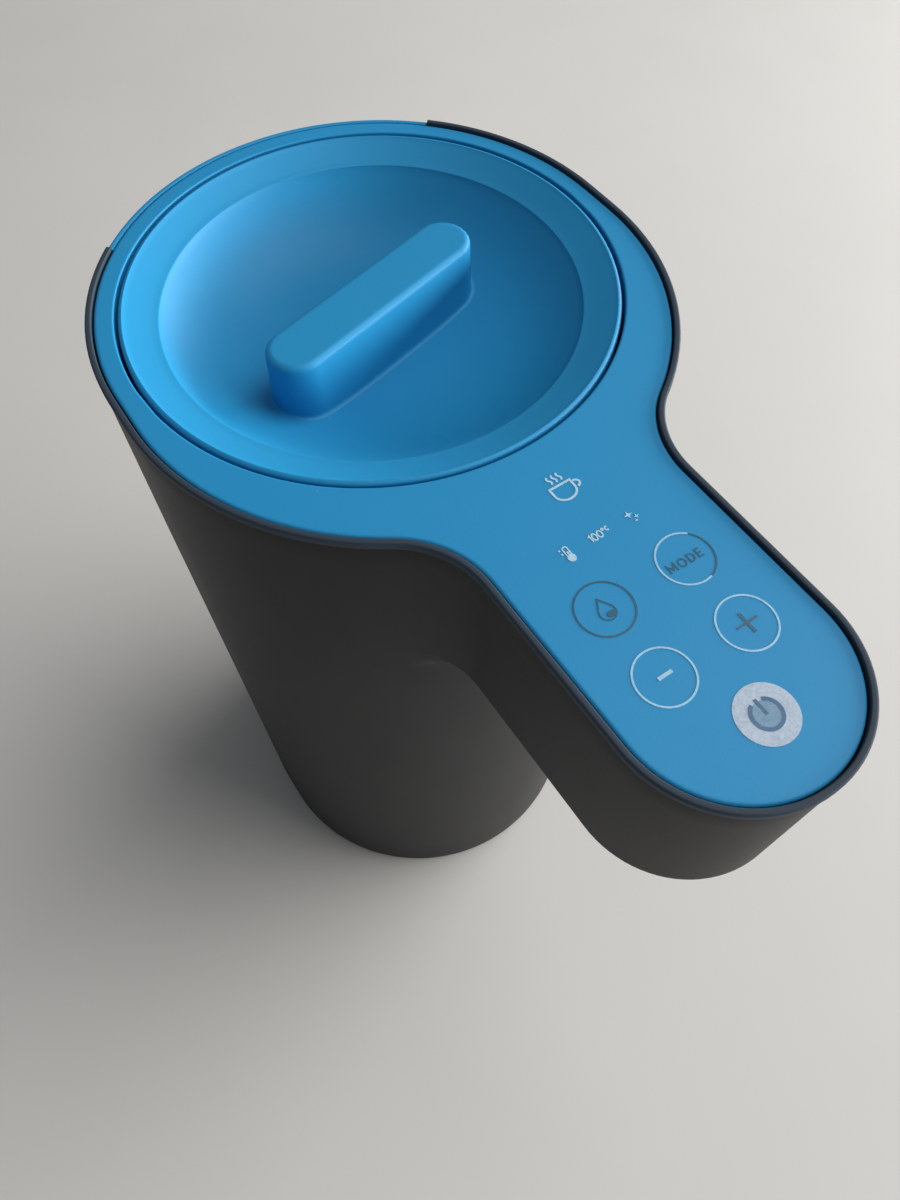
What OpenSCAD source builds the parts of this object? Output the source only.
// Heated milk frother jug: a casing with a saucepan-style handle, a lift-off lid, and a magnetic whisk drive.
// The origin is on the jug's upright axis, on the plane it stands on. +X points along the handle, +Z is up.

/* [Body] */
// Outer radius of the rim around the jug
rim_r = 55; // [50:0.5:60]
// How far the round outline is drawn out towards the handle
stretch = 7.8; // [6:0.1:9]
// Height of the rim above the table
total_h = 206.5; // [200:0.5:230]
// Thickness of the casing wall
wall = 2.2; // [1.8:0.1:2.4]
// How far the rim stands proud of the wall below it
lip_proud = 0.3; // [0.2:0.1:1]
// Height of the proud band at the rim
lip_h = 1.8; // [1:0.1:3]
// Width of the rim's top edge
rim_w = 1.2; // [1.2:0.1:2]

/* [Handle] */
// Half the width of the handle
handle_half_w = 21.5; // [20:0.5:23]
// Distance from the jug axis to the centre of the handle's round tip
tip_x = 101.8; // [98:0.1:110]
// Radius of the hollow curve where the handle leaves the body
blend_r = 17.8; // [14:0.1:20]
// Depth of the handle from the rim to its underside
handle_depth = 39; // [32:0.5:42]

/* [Top] */
// How far the control panel lies below the rim
panel_drop = 0.5; // [0.5:0.1:1.5]
// Thickness of the control panel
panel_t = 2; // [1.6:0.1:2.4]
// Radius of the lid opening in the panel
opening_r = 49.7; // [49.6:0.1:49.9]
// Angle that the pouring lip takes up in the rim
spout_angle = 90; // [60:1:100]
// Height of the pouring lip piece
spout_h = 6.4; // [5:0.1:8]

/* [Lid] */
// Gap all round the lid
lid_gap = 0.6; // [0.4:0.1:0.8]
// Radius of the ridge between the sloping band and the bowl
ridge_r = 42; // [40:0.5:43]
// Drop from the rim to the ridge
ridge_drop = 3.3; // [2:0.1:4]
// Drop from the rim to the bowl's floor
bowl_drop = 16.5; // [14:0.5:17]
// How flat the bowl's floor is: a higher number gives steeper sides
bowl_power = 4; // [2:0.1:5]
// Half the width of the grip bar
bar_half_w = 6.3; // [5:0.1:8]
// Half the length of the grip bar
bar_half_len = 27; // [22:0.5:30]
// Direction of the grip bar, counted from the handle
bar_angle = 104.5; // [0:0.5:180]
// Drop from the rim to the top of the grip bar
bar_drop = 1.9; // [1:0.1:4]

/* [Jug] */
// Inner radius of the steel jug
jug_r = 46.7; // [46.5:0.1:46.8]
// Height of the jug's underside above the table
jug_z = 66; // [66:0.5:70]
// Thickness of the jug's steel
jug_t = 0.8; // [0.6:0.1:1]

/* [Drive] */
// Radius of the motor shaft
shaft_r = 1.5; // [1.4:0.1:2]
// Radius of the whisk's pin
pin_r = 2; // [1.8:0.1:2.5]
// Running clearance between a shaft and its bore
running = 0.05; // [0.02:0.01:0.09]
// Radius of the motor
motor_r = 14; // [12:0.5:14]

/* [Hidden] */
$fn = 96;
eps = 0.01;

// casing levels and insets: an inset is measured inwards from the rim's outline
casing_z = 0.8;
wall_inset = lip_proud + wall;
handle_z = total_h - handle_depth;
panel_z = total_h - panel_drop;
ledge_z = panel_z - panel_t;
panel_gap = 0.3;
panel_inset = rim_w + panel_gap;
spout_z = total_h - spout_h - 0.6;
spout_top = total_h - 0.6;
spout_gap = 0.15;

// lid and the seat it drops into
lid_r = opening_r - lid_gap;
lid_top = total_h - 0.5;
ridge_z = total_h - ridge_drop;
bowl_z = total_h - bowl_drop;
bar_top = total_h - bar_drop;
lid_t = 2;
lid_edge_r = 0.8;
seat_z = 189;
seat_t = 2;
seat_r = jug_r + 1.2;
collar_r = opening_r + 2;
skirt_z = seat_z + seat_t + 0.3;
plug_r = jug_r - 1.3;
plug_z = 178;
plug_h = 23;
plug_t = 1.6;
groove_z = plug_z + 3;
groove_h = 3;
groove_depth = 1.3;

// jug mouth: the steel flange, its gasket above and the clamp ring below
flange_r = collar_r - 0.4;
flange_top = seat_z - 1.2;
jug_corner = 6;

// whisk and drive
hub_z = jug_z + 2;
magnet_r = 3.2;
magnet_h = 3;
magnet_at = 10;
disc_r = 14.6;
coil_r = 17;
coil_tube = 2.2;
rotor_r = 15;
rotor_top = jug_z - 2.5;
rotor_t = 5;
plate_t = 3.4;
plate_hole = 20;
plate_r = 44;
element_r = 36;
element_tube = 3.2;
element_z = jug_z - plate_t - element_tube;
element_gap = 50;
lead_r = 1.1;
sensor_at = 26;
probe_r = 2.5;

// motor stack on its bracket
bracket_z = 48;
bracket_t = 2;
bracket_r = 46;
motor_h = 24;
boss_r = 4;
post_at = 42;
post_r = 3.5;
grommet_h = 2.5;
POSTS = [45, 135, 225, 315];

// base
base_z = 1.2;
base_t = 2.6;
base_top = base_z + base_t;
base_inset = wall_inset + 0.2;
foot_in = 42;
foot_out = 46;
foot_h = 2.4;
socket_r = 16.8;
socket_h = 16.8;
coupler_r = 3.3;
coupler_depth = 12;
screw_r = 1.2;
screw_hole = 1.25;
screw_head = 2.5;
casing_boss_r = 3.4;
casing_boss_h = 12;
casing_boss_at = rim_r - wall_inset - 3.2;
BASE_SCREWS = [
  [casing_boss_at + stretch, 0], [0, casing_boss_at], [-casing_boss_at, 0], [0, -casing_boss_at]
];

// circuit boards
board_z = 20;
board_t = 1.6;
board_r = 37;
STANDOFFS = [[18, 18], [-18, 18], [-18, -18], [18, -18]];
touch_z = ledge_z - 3.6;
touch_half_w = 16.5;
touch_from = 62;
touch_tip = 99;
KEYS = [[82.6, 8.3], [82.6, -8.3], [96.6, 8.3], [96.6, -8.3], [109.4, 0]];
ICONS = [[71.2, 6.3], [71.2, 0], [71.2, -6.3]];
TOUCH_BOSSES = [[66, 12], [66, -12], [89.9, 13.2], [89.9, -13.2]];
cable_w = 10;
cable_t = 1;
cable_x = 55.2;
cable_low = 24;
cable_high = 195;

// height of the bowl's surface at radius r
function bowl(r) = bowl_z + (ridge_z - bowl_z) * pow(r / ridge_r, bowl_power);

// points on an arc, angles in degrees
function arc(cx, cy, r, from, to, steps) =
  [for (i = [0:steps]) let (a = from + (to - from) * i / steps) [cx + r * cos(a), cy + r * sin(a)]];

// half of the keyhole outline, inset by d: body arc, hollow blend into the handle, handle tip
function keyhole_half(d) =
  let (
    bx = stretch + sqrt(pow(rim_r + blend_r, 2) - pow(handle_half_w + blend_r, 2)),
    by = handle_half_w + blend_r,
    lean = atan2(by, bx - stretch)
  )
  concat(
    arc(tip_x, 0, handle_half_w - d, 0, 90, 14),
    arc(bx, by, blend_r + d, 270, 180 + lean, 10),
    arc(stretch, 0, rim_r - d, lean, 90, 12),
    arc(0, 0, rim_r - d, 90, 180, 24)
  );

module keyhole(d) {
  half = keyhole_half(d);
  far = [for (i = [len(half) - 2:-1:1]) [half[i][0], -half[i][1]]];
  polygon(concat(half, far));
}

// the body's outline below the handle, inset by d
module obround(d) {
  right = arc(stretch, 0, rim_r - d, -90, 90, 36);
  left = arc(0, 0, rim_r - d, 90, 270, 36);
  polygon(concat(right, left));
}

module ring(outer, inner, h) {
  difference() {
    cylinder(r = outer, h = h);
    translate([0, 0, -1])
      cylinder(r = inner, h = h + 2);
  }
}

// a wedge of the given opening angle, centred on the side away from the handle
module spout_wedge(angle, h) {
  reach = 2 * rim_r;
  half = angle / 2;
  linear_extrude(h)
    polygon([[0, 0], [-reach * cos(half), reach * sin(half)], [-reach * cos(half), -reach * sin(half)]]);
}

// a screw with its head down and its shank up
module screw(head_r, head_h, shank_r, length) {
  cylinder(r = head_r, h = head_h);
  translate([0, 0, head_h - eps])
    cylinder(r = shank_r, h = length + eps);
}

module at(points) {
  for (p = points)
    translate([p[0], p[1], 0])
      children();
}

module at_posts() {
  for (a = POSTS)
    rotate([0, 0, a])
      translate([post_at, 0, 0])
        children();
}

// casing: body tube, hollow handle and the proud rim, with the rim cut away at the spout
module outer_casing() {
  color("#37393f")
    difference() {
      union() {
        translate([0, 0, casing_z])
          linear_extrude(total_h - casing_z)
            obround(lip_proud);
        translate([0, 0, handle_z])
          linear_extrude(handle_depth)
            keyhole(lip_proud);
        translate([0, 0, total_h - lip_h])
          linear_extrude(lip_h)
            keyhole(0);
      }
      difference() {
        translate([0, 0, -1])
          linear_extrude(handle_z + wall + 2)
            obround(wall_inset);
        translate([0, 0, base_top + 0.1])
          at(BASE_SCREWS)
            cylinder(r = casing_boss_r, h = casing_boss_h);
      }
      translate([0, 0, base_top])
        at(BASE_SCREWS)
          cylinder(r = screw_hole, h = 10);
      translate([0, 0, handle_z + wall])
        linear_extrude(handle_depth)
          keyhole(wall_inset);
      translate([0, 0, ledge_z])
        linear_extrude(handle_depth)
          keyhole(rim_w);
      translate([0, 0, spout_z])
        spout_wedge(spout_angle, spout_h + 2);
    }
}

// control panel: keyhole plate, the collar round the lid and the bosses for the touch board
module top_panel() {
  color("#2f86b5") {
    difference() {
      union() {
        translate([0, 0, ledge_z])
          linear_extrude(panel_t)
            keyhole(panel_inset);
        translate([0, 0, seat_z])
          cylinder(r = collar_r, h = ledge_z - seat_z + eps);
        at(TOUCH_BOSSES)
          translate([0, 0, touch_z + board_t])
            cylinder(r = 2.6, h = ledge_z - touch_z - board_t + eps);
      }
      translate([0, 0, seat_z + seat_t])
        cylinder(r = opening_r, h = 40);
      translate([0, 0, seat_z - 1])
        cylinder(r = seat_r, h = 10);
      at(TOUCH_BOSSES)
        translate([0, 0, touch_z])
          cylinder(r = screw_hole, h = 4.6);
    }
  }
}

// pouring lip that takes the rim's place opposite the handle
module spout_lip() {
  color("#2f86b5")
    intersection() {
      union() {
        translate([0, 0, spout_z])
          ring(rim_r - lip_proud, rim_r - rim_w - 0.1, spout_h);
        translate([0, 0, total_h - lip_h])
          ring(rim_r, rim_r - rim_w - 0.1, spout_top - total_h + lip_h);
      }
      translate([-spout_gap / sin(spout_angle / 2), 0, 0])
        spout_wedge(spout_angle, total_h);
    }
}

function lid_top_profile() = concat(
  [[0, bowl_z]],
  [for (i = [4:20]) let (r = ridge_r * i / 20) [r, bowl(r)]],
  arc(lid_r - lid_edge_r, lid_top - lid_edge_r, lid_edge_r, 100, 0, 6)
);

function lid_under_profile() = concat(
  [[lid_r, skirt_z], [lid_r - 1.8, skirt_z], [lid_r - 1.8, lid_top - lid_t - 0.6]],
  [for (i = [20:-1:4]) let (r = (ridge_r - 0.6) * i / 20) [r, bowl(r) - lid_t]],
  [[0, bowl_z - lid_t]]
);

module bar_outline(d) {
  w = bar_half_w - d;
  c = bar_half_len - bar_half_w;
  polygon(concat(arc(c, 0, w, -90, 90, 18), arc(-c, 0, w, 90, 270, 18)));
}

// lid: sloping band, bowl, outer skirt and the hollow grip bar
module lid_cap() {
  color("#2f86b5")
    difference() {
      union() {
        rotate_extrude()
          polygon(concat(lid_top_profile(), lid_under_profile()));
        rotate([0, 0, bar_angle])
          translate([0, 0, bowl_z - lid_t / 2])
            linear_extrude(bar_top - bowl_z + lid_t / 2)
              bar_outline(0);
      }
      rotate([0, 0, bar_angle])
        translate([0, 0, bowl_z - lid_t - 2])
          linear_extrude(bar_top - bowl_z + 2)
            bar_outline(lid_t);
    }
}

// cup under the lid that plugs the jug's mouth, with the groove for its seal
module lid_underplate() {
  color("#3d8fb8")
    difference() {
      translate([0, 0, plug_z])
        cylinder(r = plug_r, h = plug_h);
      translate([0, 0, plug_z + plug_t])
        cylinder(r = plug_r - plug_t - groove_depth, h = plug_h);
      translate([0, 0, groove_z + groove_h + plug_t])
        cylinder(r = plug_r - plug_t, h = plug_h);
      translate([0, 0, groove_z])
        ring(plug_r + 1, plug_r - groove_depth, groove_h);
    }
}

module lid_seal() {
  color("#e6e6e2")
    translate([0, 0, groove_z + running])
      ring(jug_r - 0.3, plug_r - groove_depth + running, groove_h - 2 * running);
}

// deep-drawn steel jug with a rolled bottom corner and a flat flange at its mouth
module inner_jug() {
  outer = jug_r + jug_t;
  color("#c9cbcd")
    rotate_extrude()
      polygon(concat(
        [[0, jug_z]],
        arc(outer - jug_corner, jug_z + jug_corner, jug_corner, 270, 360, 8),
        [[outer, flange_top - jug_t], [flange_r, flange_top - jug_t], [flange_r, flange_top]],
        [[jug_r, flange_top]],
        arc(outer - jug_corner, jug_z + jug_corner, jug_corner - jug_t, 360, 270, 8),
        [[0, jug_z + jug_t]]
      ));
}

module jug_gasket() {
  color("#8a8a86")
    translate([0, 0, flange_top])
      ring(flange_r, jug_r + 0.6, seat_z - flange_top);
}

module jug_clamp_ring() {
  color("#2b2b2d")
    translate([0, 0, flange_top - jug_t - 4])
      ring(collar_r, jug_r + jug_t + 0.4, 4);
}

// whisk post fixed to the jug's floor
module whisk_pin() {
  color("#c9cbcd")
    translate([0, 0, jug_z + jug_t]) {
      cylinder(r = 5, h = 0.8);
      cylinder(r = pin_r, h = 17);
    }
}

module whisk_carrier() {
  color("#2b2b2d")
    translate([0, 0, hub_z])
      difference() {
        union() {
          cylinder(r = disc_r, h = 5);
          cylinder(r = 5.5, h = 15);
        }
        translate([0, 0, -1])
          cylinder(r = pin_r + running, h = 18);
        for (s = [-1, 1])
          translate([s * magnet_at, 0, -1])
            cylinder(r = magnet_r, h = magnet_h + 1);
      }
}

module whisk_magnets() {
  color("#b9b6ae")
    for (s = [-1, 1])
      translate([s * magnet_at, 0, hub_z])
        cylinder(r = magnet_r, h = magnet_h);
}

// the space taken by the sprung wire coil that runs round the whisk's disc
module whisk_coil() {
  color("#c9cbcd")
    translate([0, 0, hub_z + 2.5])
      rotate_extrude()
        translate([coil_r, 0])
          circle(r = coil_tube, $fn = 32);
}

module heating_plate() {
  color("#b4b6b8")
    difference() {
      translate([0, 0, jug_z - plate_t])
        ring(min(plate_r, jug_r + jug_t - jug_corner), plate_hole, plate_t);
      translate([0, sensor_at, jug_z - plate_t - 1])
        cylinder(r = probe_r + 0.4, h = plate_t + 2);
    }
}

module heater_element() {
  color("#8f8a80")
    translate([0, 0, element_z])
      rotate([0, 0, 90 + element_gap / 2])
        rotate_extrude(angle = 360 - element_gap)
          translate([element_r, 0])
            circle(r = element_tube, $fn = 32);
}

module heater_leads() {
  color("#b03a2e")
    for (s = [-1, 1])
      rotate([0, 0, 90 + s * (element_gap / 2 + 2)])
        translate([element_r, 0, board_z + board_t])
          cylinder(r = lead_r, h = element_z - element_tube - board_z - board_t);
}

module thermal_cutout() {
  color("#d8d4c8")
    translate([-sensor_at, 0, jug_z - plate_t - 6.6])
      cylinder(r = 5.5, h = 6.6);
}

module temperature_probe() {
  color("#c9cbcd")
    translate([0, sensor_at, jug_z - plate_t - 5]) {
      cylinder(r = probe_r + 1.5, h = 5);
      cylinder(r = probe_r, h = plate_t + 4.9);
    }
}

module drive_rotor() {
  color("#e4e2da")
    difference() {
      union() {
        translate([0, 0, rotor_top - rotor_t])
          cylinder(r = rotor_r, h = rotor_t);
        translate([0, 0, bracket_z + bracket_t + 2])
          cylinder(r = 5, h = rotor_top - rotor_t - bracket_z - bracket_t - 2 + eps);
      }
      cylinder(r = shaft_r, h = rotor_top - 2);
      for (s = [-1, 1])
        translate([s * magnet_at, 0, rotor_top - magnet_h])
          cylinder(r = magnet_r, h = magnet_h + 1);
    }
}

module drive_magnets() {
  color("#b9b6ae")
    for (s = [-1, 1])
      translate([s * magnet_at, 0, rotor_top - magnet_h])
        cylinder(r = magnet_r, h = magnet_h);
}

module motor_shaft() {
  color("#d0d2d4")
    translate([0, 0, bracket_z - 18])
      cylinder(r = shaft_r, h = rotor_top - 2 - bracket_z + 18);
}

module motor_can() {
  color("#a9abad")
    difference() {
      union() {
        translate([0, 0, bracket_z - motor_h])
          cylinder(r = motor_r, h = motor_h);
        translate([0, 0, bracket_z - eps])
          cylinder(r = boss_r, h = bracket_t + eps);
      }
      translate([0, 0, bracket_z - 20])
        cylinder(r = shaft_r + running, h = 30);
      for (s = [-1, 1])
        translate([s * 9, 0, bracket_z - 4])
          cylinder(r = screw_hole, h = 6);
    }
}

module motor_bracket() {
  color("#9da0a3")
    translate([0, 0, bracket_z])
      difference() {
        cylinder(r = bracket_r, h = bracket_t);
        translate([0, 0, -1])
          cylinder(r = boss_r + 0.2, h = bracket_t + 2);
        for (s = [-1, 1]) {
          translate([s * 9, 0, -1])
            cylinder(r = screw_hole, h = bracket_t + 2);
          rotate([0, 0, 90 + s * (element_gap / 2 + 2)])
            translate([element_r, 0, -1])
              cylinder(r = lead_r + 1, h = bracket_t + 2);
        }
        translate([0, 0, -1])
          at_posts()
            cylinder(r = screw_hole, h = bracket_t + 2);
      }
}

module motor_screws() {
  color("#77797c")
    for (s = [-1, 1])
      translate([s * 9, 0, bracket_z + bracket_t + 1.6])
        mirror([0, 0, 1])
          screw(2.4, 1.6, screw_r, 5);
}

module isolator_grommets() {
  color("#26262a")
    translate([0, 0, bracket_z - grommet_h])
      at_posts()
        ring(post_r + 1, screw_hole, grommet_h);
}

module bracket_screws() {
  color("#77797c")
    at_posts()
      translate([0, 0, bracket_z + bracket_t + 1.8])
        mirror([0, 0, 1])
          screw(screw_head, 1.8, screw_r, 11);
}

module power_board() {
  color("#2f6b43")
    translate([0, 0, board_z])
      difference() {
        cylinder(r = board_r, h = board_t);
        translate([0, 0, -1])
          at(STANDOFFS)
            cylinder(r = screw_hole, h = board_t + 2);
      }
}

module board_parts() {
  top = board_z + board_t;
  color("#e0c040")
    translate([17, -7, top])
      cube([15, 14, 14]);
  color("#2b2f5c")
    for (s = [-1, 1])
      translate([-25, s * 7, top])
        cylinder(r = 5, h = 18);
  color("#2a6fb0")
    translate([-7, 22.5, top])
      cube([14, 9, 12]);
  color("#9a9da0")
    translate([-7, -30, top])
      cube([14, 8, 18]);
  color("#f0f0ec")
    translate([board_r - 4.5, -6, top])
      cube([4, 12, 5.4]);
}

module board_screws() {
  color("#77797c")
    at(STANDOFFS)
      translate([0, 0, board_z + board_t + 1.6])
        mirror([0, 0, 1])
          screw(2.4, 1.6, screw_r, 9);
}

// flat cable from the power board, up behind the jug and into the handle
module control_cable() {
  color("#d9d9d4") {
    translate([board_r - 0.5, -cable_w / 2, cable_low])
      cube([cable_x - board_r + 0.5 + cable_t, cable_w, cable_t]);
    translate([cable_x, -cable_w / 2, cable_low])
      cube([cable_t, cable_w, cable_high - cable_low + cable_t]);
    translate([cable_x, -cable_w / 2, cable_high])
      cube([72 - cable_x, cable_w, cable_t]);
    translate([68, -cable_w / 2, cable_high])
      cube([4, cable_w, touch_z - cable_high]);
  }
}

module touch_board() {
  color("#2f6b43")
    translate([0, 0, touch_z])
      difference() {
        union() {
          translate([touch_from, -touch_half_w, 0])
            cube([touch_tip - touch_from, 2 * touch_half_w, board_t]);
          translate([touch_tip, 0, 0])
            cylinder(r = touch_half_w, h = board_t);
        }
        translate([0, 0, -1])
          at(TOUCH_BOSSES)
            cylinder(r = screw_hole, h = board_t + 2);
      }
}

module touch_pads() {
  color("#3a3a3a")
    translate([0, 0, touch_z + board_t])
      at(KEYS)
        cylinder(r = 4.6, h = ledge_z - touch_z - board_t);
}

module indicator_lights() {
  color("#f2efe0")
    at(ICONS)
      translate([-2.2, -2.2, touch_z + board_t])
        cube([4.4, 4.4, ledge_z - touch_z - board_t]);
}

module touch_board_screws() {
  color("#77797c")
    at(TOUCH_BOSSES)
      translate([0, 0, touch_z - 1.4])
        screw(2.3, 1.4, screw_r, 4.4);
}

module buzzer() {
  color("#1c1c1e")
    translate([92, 0, touch_z - 4])
      cylinder(r = 4.5, h = 4);
}

// base: closes the casing, carries the motor posts and board standoffs and holds the coupler
module base_plate() {
  color("#303136")
    difference() {
      union() {
        translate([0, 0, base_z])
          linear_extrude(base_t)
            obround(base_inset);
        translate([0, 0, base_top - eps])
          at_posts()
            cylinder(r = post_r, h = bracket_z - grommet_h - base_top + eps);
        translate([0, 0, base_top - eps])
          at(STANDOFFS)
            cylinder(r = 3, h = board_z - base_top + eps);
      }
      cylinder(r = socket_r + 0.1, h = 20, center = true);
      translate([0, 0, -0.6])
        ring(foot_out, foot_in, foot_h + 0.6);
      at(BASE_SCREWS) {
        cylinder(r = screw_head + 0.2, h = base_z + 1.4);
        cylinder(r = screw_hole, h = base_top + 1);
      }
      at_posts()
        translate([0, 0, bracket_z - grommet_h - 9])
          cylinder(r = screw_hole, h = 20);
      at(STANDOFFS)
        translate([0, 0, board_z - 9])
          cylinder(r = screw_hole, h = 20);
    }
}

module base_screws() {
  color("#77797c")
    at(BASE_SCREWS)
      translate([0, 0, base_z])
        screw(screw_head, 1.4, screw_r, 9);
}

module foot_ring() {
  color("#202022")
    ring(foot_out, foot_in, foot_h);
}

// cordless coupler in the base: centre contact hole and a ring groove for the two line contacts
module power_socket() {
  color("#1c1c1e")
    difference() {
      union() {
        translate([0, 0, base_z])
          cylinder(r = socket_r, h = socket_h);
        translate([0, 0, base_top])
          cylinder(r = socket_r + 2, h = 2);
      }
      translate([0, 0, base_z - 1])
        cylinder(r = coupler_r, h = coupler_depth + 1);
      translate([0, 0, base_z - 1])
        ring(13.5, 9, coupler_depth + 1);
    }
}

module socket_contacts() {
  color("#c8a248")
    translate([0, 0, base_z + 2]) {
      ring(13.5, 13, coupler_depth - 2);
      ring(9.5, 9, coupler_depth - 2);
    }
}

outer_casing();
top_panel();
spout_lip();
lid_cap();
lid_underplate();
lid_seal();
inner_jug();
jug_gasket();
jug_clamp_ring();
whisk_pin();
whisk_carrier();
whisk_magnets();
whisk_coil();
heating_plate();
heater_element();
heater_leads();
thermal_cutout();
temperature_probe();
drive_rotor();
drive_magnets();
motor_shaft();
motor_can();
motor_bracket();
motor_screws();
isolator_grommets();
bracket_screws();
power_board();
board_parts();
board_screws();
control_cable();
touch_board();
touch_pads();
indicator_lights();
touch_board_screws();
buzzer();
base_plate();
base_screws();
foot_ring();
power_socket();
socket_contacts();
